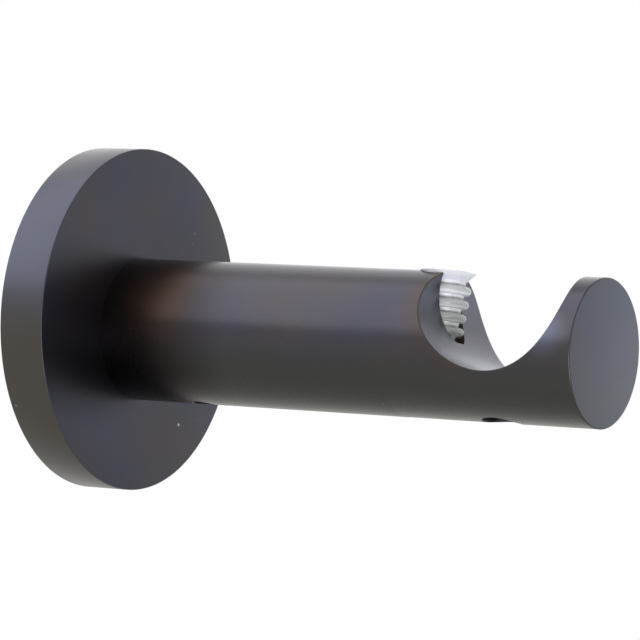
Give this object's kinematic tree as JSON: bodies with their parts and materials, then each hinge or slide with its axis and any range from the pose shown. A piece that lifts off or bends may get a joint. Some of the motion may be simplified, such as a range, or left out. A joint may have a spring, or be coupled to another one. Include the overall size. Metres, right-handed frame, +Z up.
{
  "type": "curtain pole bracket",
  "caption": "Round curtain pole bracket: a disc rose at the wall, a straight round post and an open-topped saddle, with a clear ribbed plug in its back wall that grips the pole.",
  "frame": {"origin": "centre of the wall plate's screw circle, in the plane of the wall", "axes": "+X out of the wall along the post, +Y along the curtain pole, +Z up, the way the saddle opens"},
  "size_m": [0.1009, 0.0604, 0.0604],
  "materials": {
    "plated_metal": "satin dark nickel plate with a faint warm tint at the edges",
    "clear_plastic": "clear soft plastic, slightly milky",
    "screw_steel": "blackened screw steel",
    "zinc_steel": "bright zinc plate"
  },
  "bodies": {
    "root": {"rose": "plated_metal", "post": "plated_metal", "ribbed_plug": "clear_plastic", "lock_screw": "screw_steel", "wall_plate": "zinc_steel", "spigot": "zinc_steel", "spigot_screw": "zinc_steel"}
  },
  "joints": []
}
